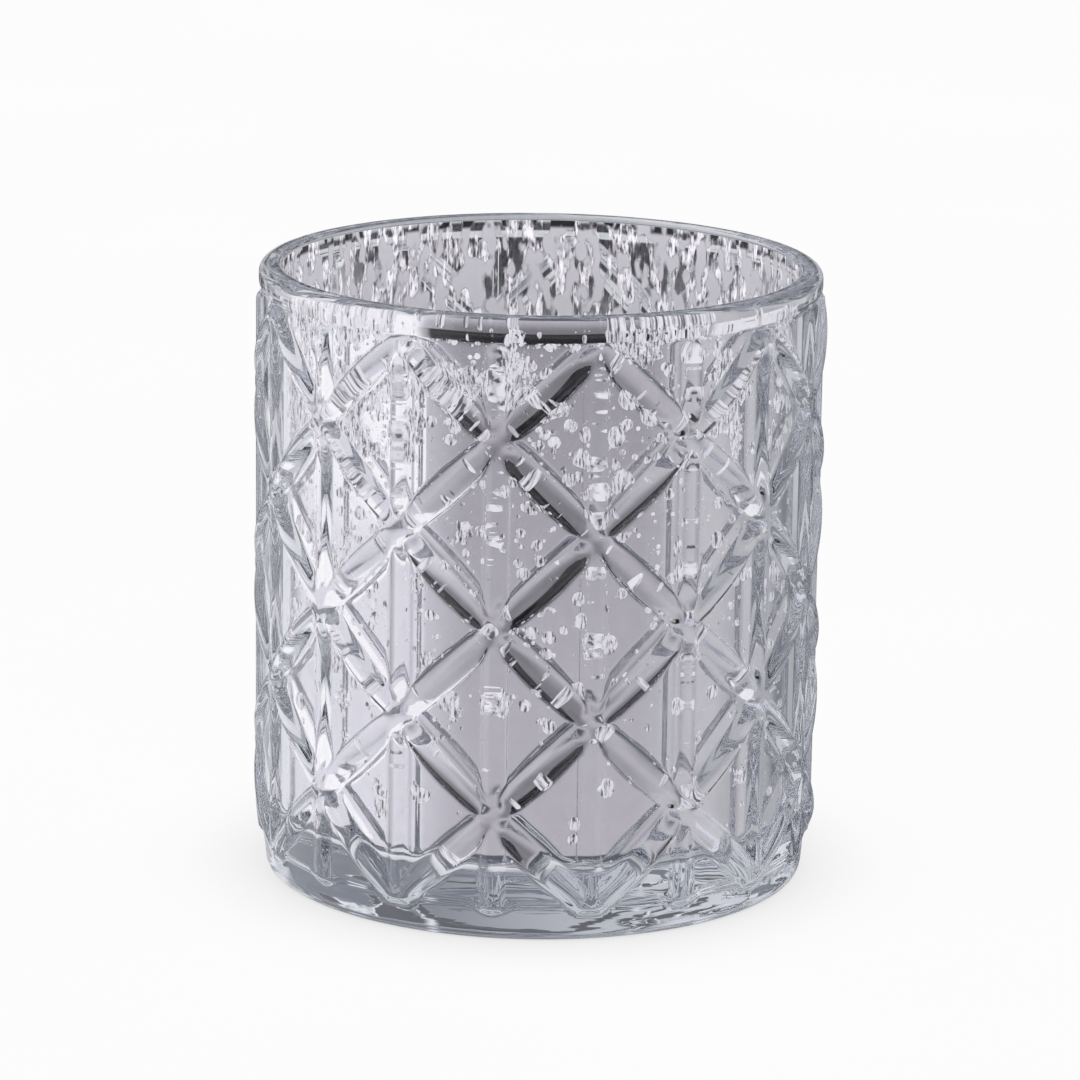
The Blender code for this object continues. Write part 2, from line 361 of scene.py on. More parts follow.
class Shader:
    """Short names for adding nodes to a material or a world.

    Most of these return a node's output, and take outputs or plain values alike.
    """

    def __init__(self, tree):
        self.tree = tree
        self.tree.nodes.clear()

    def give(self, socket, value):
        """Link a node's output to the socket, or set the socket to a plain value."""
        if isinstance(value, bpy.types.NodeSocket):
            self.tree.links.new(value, socket)
        else:
            socket.default_value = value

    def give_all(self, sockets, values):
        for socket, value in zip(sockets, values):
            self.give(socket, value)

    def node(self, kind, **inputs):
        made = self.tree.nodes.new(kind)
        for name, value in inputs.items():
            self.give(made.inputs[name.replace("_", " ")], value)
        return made

    def math(self, operation, *values):
        made = self.tree.nodes.new("ShaderNodeMath")
        made.operation = operation
        self.give_all(made.inputs, values)
        return made.outputs[0]

    def smooth(self, value, low, high, to_low=0.0, to_high=1.0):
        """Smoothstep of value from low to high."""
        made = self.tree.nodes.new("ShaderNodeMapRange")
        made.interpolation_type = "SMOOTHSTEP"
        for name, given in (
            ("Value", value),
            ("From Min", low),
            ("From Max", high),
            ("To Min", to_low),
            ("To Max", to_high),
        ):
            self.give(made.inputs[name], given)
        return made.outputs["Result"]

    def mix_value(self, factor, first, second):
        difference = self.math("SUBTRACT", second, first)
        return self.math("MULTIPLY_ADD", difference, factor, first)

    def mix_colour(self, factor, first, second):
        made = self.tree.nodes.new("ShaderNodeMix")
        made.data_type = "RGBA"
        wanted = {"Factor_Float": factor, "A_Color": first, "B_Color": second}
        for socket in made.inputs:
            if socket.identifier in wanted:
                given = wanted[socket.identifier]
                if isinstance(given, tuple):
                    given = (*given, 1.0)
                self.give(socket, given)
        return next(s for s in made.outputs if s.identifier == "Result_Color")

    def mix_shader(self, factor, first, second):
        made = self.tree.nodes.new("ShaderNodeMixShader")
        self.give_all(made.inputs, (factor, first, second))
        return made.outputs[0]

    def noise(self, vector, scale, detail=2.0, roughness=0.5):
        made = self.node(
            "ShaderNodeTexNoise", Vector=vector, Scale=scale, Detail=detail, Roughness=roughness
        )
        return made.outputs["Fac"]

    def moved(self, vector, location=(0, 0, 0), scale=(1, 1, 1)):
        made = self.node("ShaderNodeMapping", Vector=vector, Location=location, Scale=scale)
        return made.outputs["Vector"]

    def position(self):
        return self.node("ShaderNodeTexCoord").outputs["Object"]

    def stretched(self, vector, upright):
        """The vector with its height scaled: less than 1 draws a pattern out along the axis."""
        return self.moved(vector, scale=(1.0, 1.0, upright))

    def split(self, vector):
        return self.node("ShaderNodeSeparateXYZ", Vector=vector).outputs

    def chain(self, operation, values):
        result = values[0]
        for value in values[1:]:
            result = self.math(operation, result, value)
        return result

    def total(self, *values):
        return self.chain("ADD", values)

    def product(self, *values):
        return self.chain("MULTIPLY", values)

    def most(self, *values):
        return self.chain("MAXIMUM", values)

    def opposite(self, value):
        return self.math("SUBTRACT", 1.0, value)

    def shaken(self, vector, scale, amount):
        """The vector, moved about by noise."""
        wobble = self.node("ShaderNodeTexNoise", Vector=vector, Scale=scale, Detail=2.0)
        made = self.tree.nodes.new("ShaderNodeVectorMath")
        made.operation = "MULTIPLY_ADD"
        self.give_all(made.inputs, (wobble.outputs["Color"], (amount, amount, amount), vector))
        return made.outputs[0]

    def bump(self, height, strength, distance):
        made = self.node("ShaderNodeBump", Strength=strength, Distance=distance, Height=height)
        return made.outputs["Normal"]

    def surface(self, shader, volume=None):
        output = self.node("ShaderNodeOutputMaterial", Surface=shader)
        if volume is not None:
            self.give(output.inputs["Volume"], volume)


def new_material(name):
    material = bpy.data.materials.new(name)
    material.use_nodes = True
    return material, Shader(material.node_tree)


# Clear glass. Colours are red, green and blue from 0 to 1; noise scales are waves per metre.
GLASS_SKIN = (0.985, 0.987, 0.992, 1.0)
GLASS_TINT = (0.60, 0.68, 0.84, 1.0)
GLASS_TINT_DENSITY = 3.0
GLASS_INDEX = 1.52
RIPPLE_SCALE = 170.0
SWIRL_SCALE = 55.0
SWIRL_FLATTENED = 3.5
SWIRL_IN_FOOT = 4.0
SWIRL_IN_LIP = 2.0
FOOT_SWIRLS = (9.0 * MM, 3.0 * MM)  # levels where the foot's swirls start and are full
LIP_SWIRLS = (PATTERN_TOP - MM, PATTERN_TOP + MM)
RIPPLE_STRENGTH = 0.25
RIPPLE_DEPTH = 0.09 * MM


def glass_material():
    """Clear pressed glass: a faint blue body and a fire-polished skin with slow ripples."""
    material, s = new_material("clear_pressed_glass")
    position = s.position()
    level = s.split(position)["Z"]
    in_foot = s.product(s.smooth(level, *FOOT_SWIRLS), SWIRL_IN_FOOT)
    in_lip = s.product(s.smooth(level, *LIP_SWIRLS), SWIRL_IN_LIP)
    ripple = s.noise(position, RIPPLE_SCALE, detail=2.0)
    swirl = s.noise(s.stretched(position, SWIRL_FLATTENED), SWIRL_SCALE, detail=1.0)
    height = s.total(ripple, s.product(swirl, s.total(in_foot, in_lip)))
    normal = s.bump(height, RIPPLE_STRENGTH, RIPPLE_DEPTH)
    glass = s.node(
        "ShaderNodeBsdfGlass", Color=GLASS_SKIN, Roughness=0.0, IOR=GLASS_INDEX, Normal=normal
    )
    body = s.node("ShaderNodeVolumeAbsorption", Color=GLASS_TINT, Density=GLASS_TINT_DENSITY)
    s.surface(glass.outputs[0], body.outputs[0])
    return material


# Where the silver coat is worn through. Spots are given as cell size, least and greatest radius,
# and a seed that sets where they lie.
LARGE_SPOTS = (3.8 * MM, 0.5 * MM, 1.6 * MM, 3.1)
MIDDLE_SPOTS = (2.1 * MM, 0.25 * MM, 0.85 * MM, 7.7)
SMALL_SPOTS = (1.1 * MM, 0.08 * MM, 0.32 * MM, 1.9)
SALT_SPOTS = (0.55 * MM, 0.05 * MM, 0.13 * MM, 5.3)
ISLANDS = (2.3 * MM, 0.3 * MM, 1.0 * MM, 13.0)
SPOT_SOFTNESS = 0.04 * MM
ISLAND_SOFTNESS = 0.15 * MM
SEED_DIRECTION = (1.0, 0.7, 1.3)

# Share of the cells that hold a spot: it grows up the wall and drops behind the lip
SPOT_LEVELS = (0.10 * HEIGHT, 0.86 * HEIGHT)
SPOT_SHARES = (0.20, 1.0)
LIP_LEVELS = (PATTERN_TOP - 0.5 * MM, LIP_BAND_BOTTOM)
LIP_SHARES = (1.0, 0.35)
SALT_SHARE = 0.40
ISLAND_SHARE = 0.5

# Ragged blotches, thickest high up and on the left
HIGH_LEVELS = (0.30 * HEIGHT, 0.97 * HEIGHT)
CROWN_LEVELS = (0.60 * HEIGHT, 0.97 * HEIGHT)
LEFT_SIDE = (4.0 * MM, -28.0 * MM)
CLOUD_SCALE = 120.0
CLOUD_LEVEL = 0.645  # noise above this is a blotch
CROWN_LIFT = 0.10
LEFT_LIFT = 0.07
CRUMB_SCALE = 3300.0
CRUMB_LEVEL = 0.38

# High on the back most of the coat is gone
BACK_SIDE = (-12.0 * MM, 14.0 * MM)
BACK_LEVELS = (0.42 * HEIGHT, 0.62 * HEIGHT)
BACK_EDGE = 0.98  # the zone starts where height on the back plus ragged noise passes this
BACK_EDGE_RAGGED = 0.8
PATCH_SCALE = 640.0
PATCH_STRETCH = 0.45
PATCH_RANGE = (0.48, 0.58)
ISLAND_STRETCH = 0.6

# How far noise shakes the outlines of spots and blotches
SPOT_SHAKE = (330.0, 0.28 * MM)
BLOTCH_SHAKE = (700.0, 0.5 * MM)


def spots(s, place, share, kind, softness=SPOT_SOFTNESS):
    """1 inside round spots. The share of cells that hold a spot can vary from place to place."""
    cell, smallest, largest, seed = kind
    shifted = s.moved(place, location=[seed * part for part in SEED_DIRECTION])
    cells = s.node("ShaderNodeTexVoronoi", Vector=shifted, Scale=1.0 / cell)
    draws = s.node("ShaderNodeSeparateColor", Color=cells.outputs["Color"]).outputs
    size = s.smooth(draws["Green"], 0.0, 1.0, smallest / cell, largest / cell)
    chosen = s.math("LESS_THAN", draws["Red"], share)
    depth = s.math("SUBTRACT", size, cells.outputs["Distance"])
    inside = s.smooth(depth, -softness / cell, softness / cell)
    return s.product(chosen, inside)


def front_worn(s, position, place, xyz, cloud):
    """Specks of four sizes and ragged blotches."""
    share = s.product(
        s.smooth(xyz["Z"], *SPOT_LEVELS, *SPOT_SHARES), s.smooth(xyz["Z"], *LIP_LEVELS, *LIP_SHARES)
    )
    high = s.smooth(xyz["Z"], *HIGH_LEVELS)
    crown = s.smooth(xyz["Z"], *CROWN_LEVELS)
    left = s.smooth(xyz["X"], *LEFT_SIDE)
    lift = s.total(s.product(crown, CROWN_LIFT), s.product(left, high, LEFT_LIFT))
    blotch = s.math("GREATER_THAN", s.total(cloud, lift), CLOUD_LEVEL)
    crumbs = s.math("GREATER_THAN", s.noise(position, CRUMB_SCALE, detail=1.0), CRUMB_LEVEL)
    return s.most(
        spots(s, place, share, LARGE_SPOTS),
        spots(s, place, share, MIDDLE_SPOTS),
        spots(s, position, share, SMALL_SPOTS),
        spots(s, position, s.product(high, SALT_SHARE), SALT_SPOTS),
        s.product(blotch, crumbs),
    )


def back_worn(s, position, place):
    """Everything but rounded patches and a few islands."""
    patches = s.noise(s.stretched(position, PATCH_STRETCH), PATCH_SCALE, detail=1.0)
    islands = s.stretched(place, ISLAND_STRETCH)
    left_over = s.most(
        s.smooth(patches, *PATCH_RANGE),
        spots(s, islands, ISLAND_SHARE, ISLANDS, softness=ISLAND_SOFTNESS),
    )
    return s.opposite(left_over)


def worn_mask(s):
    """1 where the silver coat is gone."""
    position = s.position()
    xyz = s.split(position)
    place = s.shaken(position, *SPOT_SHAKE)
    cloud = s.noise(s.shaken(position, *BLOTCH_SHAKE), CLOUD_SCALE, detail=4.0, roughness=0.55)
    high_on_back = s.product(s.smooth(xyz["Y"], *BACK_SIDE), s.smooth(xyz["Z"], *BACK_LEVELS))
    zone = s.total(high_on_back, s.product(cloud, BACK_EDGE_RAGGED))
    in_zone = s.math("GREATER_THAN", zone, BACK_EDGE)
    return s.total(
        s.product(in_zone, back_worn(s, position, place)),
        s.product(s.opposite(in_zone), front_worn(s, position, place, xyz, cloud)),
    )


# Silver coat: mirror, well-side paint and the frost in the worn specks
HAZE_SCALE = 260.0
MIRROR_DULL = (0.78, 0.765, 0.785)
MIRROR_BRIGHT = (0.90, 0.885, 0.905)
MIRROR_UNDER_FLOOR = (0.52, 0.53, 0.55)
UNDER_FLOOR = (WELL_FLOOR + 1.2 * MM, WELL_FLOOR + 0.3 * MM)
MIRROR_HAZE = (0.5, 0.8)
MIRROR_ROUGHNESS = (0.0, 0.008)
PAINT_DULL = (0.69, 0.69, 0.72)
PAINT_BRIGHT = (0.78, 0.78, 0.81)
PAINT_ROUGHNESS = 0.45
RAW_EDGE = (0.02, 0.02, 0.025)
RAW_EDGE_LEVELS = (HEIGHT - 1.9 * MM, HEIGHT - 1.3 * MM)
DASH_SCALE = 420.0
DASH_STRETCH = 0.3
DASH_RANGE = (0.40, 0.50)
FLOOR_LEVER = -2.0 * MM  # makes the underside of the coat's floor count as outward

FROST_LINE = (0.14, 0.14, 0.16)
FROST_PALE = (0.90, 0.89, 0.92)
FROST_PAINTED_HIGHLIGHT = (1.42, 1.41, 1.45)  # above 1: a painted highlight on the frost, brighter than a matt film can be
SCORE_SCALE = 3300.0
SCORE_STRETCH = 0.25
LINE_RANGE = (0.36, 0.43)
PAINTED_HIGHLIGHT_RANGE = (0.46, 0.58)
CRUST_SCALE = 3200.0
CRUST_RANGE = (0.32, 0.44)
CRUST_COVER = (0.66, 0.95)
STREAK_SCALE = 1000.0
STREAK_STRETCH = 0.22
STREAK_RANGE = (0.44, 0.58)
STREAK_COVER = (0.0, 0.9)


def faces_outward(s, position):
    """1 on the side of the coat that touches the glass."""
    geometry = s.node("ShaderNodeNewGeometry")
    normal = s.split(geometry.outputs["True Normal"])
    place = s.split(position)
    sideways = s.total(s.product(normal["X"], place["X"]), s.product(normal["Y"], place["Y"]))
    downwards = s.product(normal["Z"], FLOOR_LEVER)
    outward = s.math("GREATER_THAN", s.total(sideways, downwards), 0.0)
    return s.math("ABSOLUTE", s.math("SUBTRACT", outward, geometry.outputs["Backfacing"]))


def mirror_shader(s, level, haze):
    bright = s.mix_colour(haze, MIRROR_DULL, MIRROR_BRIGHT)
    shader = s.node(
        "ShaderNodeBsdfPrincipled",
        Base_Color=s.mix_colour(s.smooth(level, *UNDER_FLOOR), bright, MIRROR_UNDER_FLOOR),
        Metallic=1.0,
        Roughness=s.smooth(haze, *MIRROR_HAZE, *MIRROR_ROUGHNESS),
    )
    return shader.outputs[0]


def paint_shader(s, position, level, haze):
    """Satin grey, with dark dashes at the coat's raw edge under the lip."""
    dashes = s.noise(s.stretched(position, DASH_STRETCH), DASH_SCALE, detail=3.0)
    raw = s.product(s.smooth(level, *RAW_EDGE_LEVELS), s.smooth(dashes, *DASH_RANGE))
    grey = s.mix_colour(haze, PAINT_DULL, PAINT_BRIGHT)
    shader = s.node(
        "ShaderNodeBsdfPrincipled",
        Base_Color=s.mix_colour(raw, grey, RAW_EDGE),
        Roughness=PAINT_ROUGHNESS,
    )
    return shader.outputs[0]


def worn_shader(s, position, mirror_side):
    """Clear, with a frosty film: a crust seen through the glass, streaks seen from the well."""
    crust = s.smooth(s.noise(position, CRUST_SCALE), *CRUST_RANGE, *CRUST_COVER)
    streaks = s.noise(s.stretched(position, STREAK_STRETCH), STREAK_SCALE)
    streaks = s.smooth(streaks, *STREAK_RANGE, *STREAK_COVER)
    from_well = s.node("ShaderNodeNewGeometry").outputs["Backfacing"]
    film = s.product(s.mix_value(from_well, crust, streaks), mirror_side)
    scores = s.noise(s.stretched(position, SCORE_STRETCH), SCORE_SCALE)
    colour = s.mix_colour(s.smooth(scores, *LINE_RANGE), FROST_LINE, FROST_PALE)
    # Painted highlight: where the scores are highest, the frost's colour goes above 1
    colour = s.mix_colour(s.smooth(scores, *PAINTED_HIGHLIGHT_RANGE), colour, FROST_PAINTED_HIGHLIGHT)
    frost = s.node("ShaderNodeBsdfDiffuse", Color=colour)
    clear = s.node("ShaderNodeBsdfTransparent")
    return s.mix_shader(film, clear.outputs[0], frost.outputs[0])


def silver_material():
    """Mirror towards the glass, satin grey towards the well, and clear where it is worn."""
    material, s = new_material("mottled_silver")
    position = s.position()
    level = s.split(position)["Z"]
    haze = s.noise(position, HAZE_SCALE, detail=3.0)
    mirror_side = faces_outward(s, position)
    paint = paint_shader(s, position, level, haze)
    coat = s.mix_shader(mirror_side, paint, mirror_shader(s, level, haze))
    s.surface(s.mix_shader(worn_mask(s), coat, worn_shader(s, position, mirror_side)))
    return material


PATTERN_RANGE = (0.2, 0.8)  # noise between these sets the roughness


def plain_material(name, scale, stretch, detail, colours, roughness, bump=None, **inputs):
    """A material of one pattern of noise, which sets its colour, its roughness and any bump."""
    material, s = new_material(name)
    place = s.stretched(s.position(), stretch)
    pattern = s.noise(place, scale, detail=detail)
    inputs["Base_Color"] = s.mix_colour(pattern, *colours)
    inputs["Roughness"] = s.smooth(pattern, *PATTERN_RANGE, *roughness)
    if bump is not None:
        inputs["Normal"] = s.bump(pattern, *bump)
    shader = s.node("ShaderNodeBsdfPrincipled", **inputs)
    s.surface(shader.outputs[0])
    return material


def aluminium_material():
    """Foil drawn upwards: bright, with fine upright streaks."""
    return plain_material(
        "drawn_aluminium",
        scale=2600.0,
        stretch=0.12,
        detail=3.0,
        colours=((0.72, 0.73, 0.74), (0.86, 0.87, 0.88)),
        roughness=(0.2, 0.38),
        bump=(0.3, 0.05 * MM),
        Metallic=1.0,
    )


def wax_material():
    return plain_material(
        "white_wax",
        scale=260.0,
        stretch=1.0,
        detail=4.0,
        colours=((0.86, 0.84, 0.79), (0.93, 0.92, 0.88)),
        roughness=(0.3, 0.5),
        bump=(0.2, 0.2 * MM),
        Subsurface_Weight=0.35,
        Subsurface_Radius=(4.0 * MM, 3.0 * MM, 2.0 * MM),
    )


def steel_material():
    return plain_material(
        "tinned_steel",
        scale=1500.0,
        stretch=1.0,
        detail=3.0,
        colours=((0.58, 0.58, 0.60), (0.74, 0.74, 0.75)),
        roughness=(0.28, 0.5),
        Metallic=1.0,
    )


def wick_material():
    return plain_material(
        "waxed_cotton",
        scale=5200.0,
        stretch=0.3,
        detail=3.0,
        colours=((0.62, 0.58, 0.50), (0.86, 0.83, 0.76)),
        roughness=(0.75, 0.75),
        bump=(0.6, 0.06 * MM),
    )


# Tealight cup: foil with upright flutes, a rolled rim and a floor pressed up in the middle
FLUTES = 72
FLUTE_DEPTH = 0.05 * MM
POINTS_PER_FLUTE = 5
CUP_WALL = 0.18 * MM
CUP_SIDE = CUP_HIGH.x - 0.6 * MM
CUP_CORNER = 1.2 * MM
CUP_RIM = 0.45 * MM
CUP_FLOOR = CUP_LOW.z + CUP_WALL
PRESSED_UP = 0.35 * MM
PRESSED_RADII = (6.0 * MM, 12.0 * MM)
PRESSED_FOOT = 12.6 * MM
OUTER_LEVELS = (2.5 * MM, 6.0 * MM, 10.0 * MM, 13.0 * MM, 14.6 * MM)
INNER_LEVELS = (14.6 * MM, 13.0 * MM, 6.0 * MM, 2.5 * MM)
FLUTES_START = (1.0 * MM, 2.5 * MM)
FLUTES_END = (13.0 * MM, 14.6 * MM)
TEALIGHT_SHARP = radians(50)


def cup_profile():
    """Round the foil, from the middle of the underside to the middle of the floor."""
    foot = CUP_LOW.z
    corner = (CUP_SIDE - CUP_CORNER, foot + CUP_CORNER)
    outside = [(radius, foot + PRESSED_UP) for radius in PRESSED_RADII]
    outside += [(PRESSED_FOOT, foot)]
    outside += arc(*corner, CUP_CORNER, -90, 0, 6)
    outside += [(CUP_SIDE, foot + level) for level in OUTER_LEVELS]
    roll = arc(CUP_HIGH.x - CUP_RIM, CUP_HIGH.z - CUP_RIM, CUP_RIM, -120, 180, 14)
    inside = [(CUP_SIDE - CUP_WALL, foot + level) for level in INNER_LEVELS]
    inside += arc(*corner, CUP_CORNER - CUP_WALL, 0, -90, 6)
    inside += [(PRESSED_FOOT, CUP_FLOOR)]
    inside += [(radius, CUP_FLOOR + PRESSED_UP) for radius in reversed(PRESSED_RADII)]
    return outside + roll + inside


def make_tealight_cup():
    angles = even_angles(FLUTES * POINTS_PER_FLUTE)
    rings = []
    for radius, z in cup_profile():
        level = z - CUP_LOW.z
        on_wall = smoothstep(*FLUTES_START, level) * (1 - smoothstep(*FLUTES_END, level))
        wave = FLUTE_DEPTH * on_wall * np.cos(FLUTES * angles)
        rings.append(turned_ring(angles, radius + wave, z))
    piece = ring_stack("foil_cup", rings)
    piece.data.set_sharp_from_angle(angle=TEALIGHT_SHARP)
    piece.data.materials.append(aluminium_material())
    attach(piece, "tealight")
    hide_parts("tealight_cup")


# Wax: it fills the cup, with room for the sustainer's disc and neck under the wick
WAX_SEGMENTS = 120
WAX_FOOT = WAX_LOW.z + 0.1 * MM
WAX_SIDE = CUP_SIDE - CUP_WALL - 0.08 * MM
WAX_CORNER = 1.0 * MM
WAX_BORE = 0.86 * MM
NECK_ROOM_RADIUS = 1.9 * MM
NECK_ROOM_TOP = 4.4 * MM
BORE_FOOT = 4.5 * MM
DISC_ROOM_RADIUS = 6.8 * MM
DISC_ROOM_TOP = 0.7 * MM
WAX_EDGE_DROP = 0.2 * MM
WAX_MIDDLE_DROP = 0.45 * MM
WAX_TOP_STEPS = 24
CLING_HEIGHT = 0.7 * MM  # where the wax climbs the cup and the wick
CUP_CLING_REACH = 0.8 * MM
WICK_CLING_REACH = 0.7 * MM
WAX_UNEVEN = 0.12 * MM
WAX_UNEVEN_SCALE = 180


def wax_sides_profile():
    """From the bore round the room for the sustainer to the foot of the wax's side."""
    disc_top = WAX_FOOT + DISC_ROOM_TOP
    profile = [(WAX_BORE, WAX_FOOT + BORE_FOOT), (NECK_ROOM_RADIUS, WAX_FOOT + NECK_ROOM_TOP)]
    profile += [(NECK_ROOM_RADIUS, disc_top), (DISC_ROOM_RADIUS, disc_top)]
    profile += [(DISC_ROOM_RADIUS, WAX_FOOT)]
    return profile + arc(WAX_SIDE - WAX_CORNER, WAX_FOOT + WAX_CORNER, WAX_CORNER, -90, 0, 5)


def wax_top_profile():
    """From the side in to the bore, raised where the wax clings to the cup and the wick."""
    profile = [(WAX_SIDE, WAX_HIGH.z - WAX_EDGE_DROP)]
    for step in range(WAX_TOP_STEPS + 1):
        radius = WAX_SIDE - (WAX_SIDE - WAX_BORE) * step / WAX_TOP_STEPS
        at_cup = np.exp(-(WAX_SIDE - radius) / CUP_CLING_REACH)
        at_wick = np.exp(-(radius - WAX_BORE) / WICK_CLING_REACH)
        rise = CLING_HEIGHT * (at_cup + at_wick)
        profile.append((radius, WAX_HIGH.z - WAX_MIDDLE_DROP + rise))
    return profile


def make_tealight_wax():
    angles = even_angles(WAX_SEGMENTS)
    rings = turned_rings(angles, wax_sides_profile())
    for ring in turned_rings(angles, wax_top_profile()):
        ring[:, 2] += [WAX_UNEVEN * noise.noise(Vector(p) * WAX_UNEVEN_SCALE) for p in ring]
        rings.append(ring)
    piece = ring_stack("wax_fill", rings, capped=False)
    piece.data.set_sharp_from_angle(angle=TEALIGHT_SHARP)
    piece.data.materials.append(wax_material())
    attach(piece, "tealight")
    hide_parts("tealight_wax")


# Wick: a braid whose crossings show as slanting swells, and a free end that leans over
WICK_SEGMENTS = 36
WICK_STEPS = 90
WICK_RADIUS = 0.64 * MM
WICK_TOP = WICK_HIGH.z - 0.1 * MM
WICK_LEAN = WICK_HIGH.x - 0.8 * MM
STRAND_SWELL = 0.07 * MM
STRANDS_ROUND = 1.5
STRAND_TURNS = 2400  # radians per metre of wick
TIP_START = 0.97  # share of the length where the end rounds off
TIP_LEAST = 0.05


def make_wick():
    angles = even_angles(WICK_SEGMENTS)
    rings = []
    for step in range(WICK_STEPS + 1):
        share = step / WICK_STEPS
        z = WICK_LOW.z + (WICK_TOP - WICK_LOW.z) * share
        free = max(0.0, (z - WAX_HIGH.z) / (WICK_TOP - WAX_HIGH.z))
        swell = 0.0
        for turn in (1.0, -1.0):
            swell = swell + np.abs(np.sin(STRANDS_ROUND * angles + turn * z * STRAND_TURNS))
        past_tip = max(0.0, (share - TIP_START) / (1 - TIP_START))
        tip = sqrt(max(TIP_LEAST, 1 - past_tip**2))
        ring = turned_ring(angles, (WICK_RADIUS + STRAND_SWELL * swell) * tip, z)
        ring[:, 0] += WICK_LEAN * free**2
        rings.append(ring)
    piece = ring_stack("braided_wick", rings)
    piece.data.materials.append(wick_material())
    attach(piece, "tealight")
    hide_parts("wick")


def dress_sustainer():
    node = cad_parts["wick_sustainer"]
    node.data.materials.clear()
    node.data.materials.append(steel_material())


# Studio. Azimuths are in degrees from the camera's side, growing towards the camera's right, and
# elevations in degrees above the horizon. A pair of angles is where a change starts and ends.
PALE = (0.985, 0.985, 0.985)  # what the camera sees behind the object
OVERHEAD = (1.15, 1.12, 1.16)  # what matt surfaces see
DEEP_GLASS = (0.42, 0.42, 0.45)  # evens out what is seen by inner reflection in the glass
DEEP_SHARE = 0.25
HORIZON = -3.5
HORIZON_SOFTNESS = 0.2
ROOM = (0.42, 0.42, 0.43)
CEILING = (1.00, 1.00, 1.02)
CEILING_RISE = (50.0, 72.0)

TABLE_FAR = (0.25, 0.242, 0.262)
TABLE_NEAR = (0.575, 0.558, 0.602)
TABLE_NEAR_FALL = (-9.0, -26.0)
TABLE_SHADED = (0.10, 0.11, 0.13)  # next to and under the object
TABLE_SHADED_FALL = (-27.0, -38.0)
# Tones of the table by azimuth: from, to, colour
TABLE_TONES = (
    (-28.0, -70.0, (0.88, 0.88, 0.94)),
    (45.0, 70.0, (0.64, 0.64, 0.66)),
    (84.0, 100.0, (0.50, 0.51, 0.53)),
)

# Backdrop behind the object: a bright band, dimmer above and below it, with dark uprights that
# leave out the object's own height, and dim level lines
BACKDROP_EDGE = (122.0, 135.0)
BACKDROP_BRIGHT = (1.02, 1.02, 1.04)
BACKDROP_RISE = (-14.5, -13.0)
BACKDROP_FALL = (13.0, 9.0)
BACKDROP_DIM_LEFT = (0.80, 0.81, 0.84)
BACKDROP_DIM_RIGHT = (0.13, 0.14, 0.17)
LEFT_TO_RIGHT = (-0.5, 0.5)  # sines of the azimuth
BACKDROP_LEVEL = (0.62, 0.64, 0.67)  # at the height of the object
LEVEL_REACH = (8.0, 4.0)
DARK_UPRIGHT_HALF_WIDTH = 13.0  # straight behind the object
DARK_STRIPS = ((159.0, 5.0), (-159.0, 5.0), (143.0, 5.0), (-143.0, 5.0))  # middle, half width
STRIP_SOFTNESS = 1.5
STRIP_COLOUR = (0.035, 0.036, 0.042)
DIM_LINES = ((-21.5, 0.7), (16.5, 1.0), (23.5, 1.2))  # middle, half width
DIM_LINE_COLOUR = (0.13, 0.15, 0.19)

# Panels above the table: left, right, low, high, softness, colour
BLACK = (0.003, 0.003, 0.004)
PANELS = (
    (-48.0, 68.0, HORIZON, 62.0, 1.5, BLACK),
    (-128.0, -52.0, -20.0, 60.0, 3.0, (1.18, 1.17, 1.18)),
    (78.0, 124.0, HORIZON, 55.0, 3.0, (1.05, 1.05, 1.07)),
)


def panel(s, azimuth, elevation, left, right, low, high, soft):
    """1 inside a patch of the surroundings."""
    return s.product(
        s.smooth(azimuth, left - soft, left + soft),
        s.smooth(azimuth, right + soft, right - soft),
        s.smooth(elevation, low - soft / 4, low + soft / 4),
        s.smooth(elevation, high + soft, high - soft),
    )


def in_degrees(s, angle):
    return s.product(angle, 180 / pi)


def offset_from(s, value, middle):
    return s.math("ABSOLUTE", s.math("SUBTRACT", value, middle))


def azimuth_from_camera(s, direction):
    """The studio turns with the camera, as when the object stands on a turntable."""
    ahead = s.node("ShaderNodeVectorTransform", Vector=(0.0, 0.0, 1.0))
    ahead.vector_type = "VECTOR"
    ahead.convert_from = "CAMERA"
    ahead.convert_to = "WORLD"
    look = s.split(ahead.outputs[0])
    ray = s.split(direction)
    rightward = s.math(
        "SUBTRACT", s.product(ray["X"], look["Y"]), s.product(ray["Y"], look["X"])
    )
    onward = s.total(s.product(ray["X"], look["X"]), s.product(ray["Y"], look["Y"]))
    return in_degrees(s, s.math("ARCTAN2", rightward, s.product(onward, -1.0)))


def table_colour(s, azimuth, elevation):
    colour = s.mix_colour(s.smooth(elevation, *TABLE_NEAR_FALL), TABLE_FAR, TABLE_NEAR)
    colour = s.mix_colour(s.smooth(elevation, *TABLE_SHADED_FALL), colour, TABLE_SHADED)
    for start, end, tone in TABLE_TONES:
        colour = s.mix_colour(s.smooth(azimuth, start, end), colour, tone)
    return colour


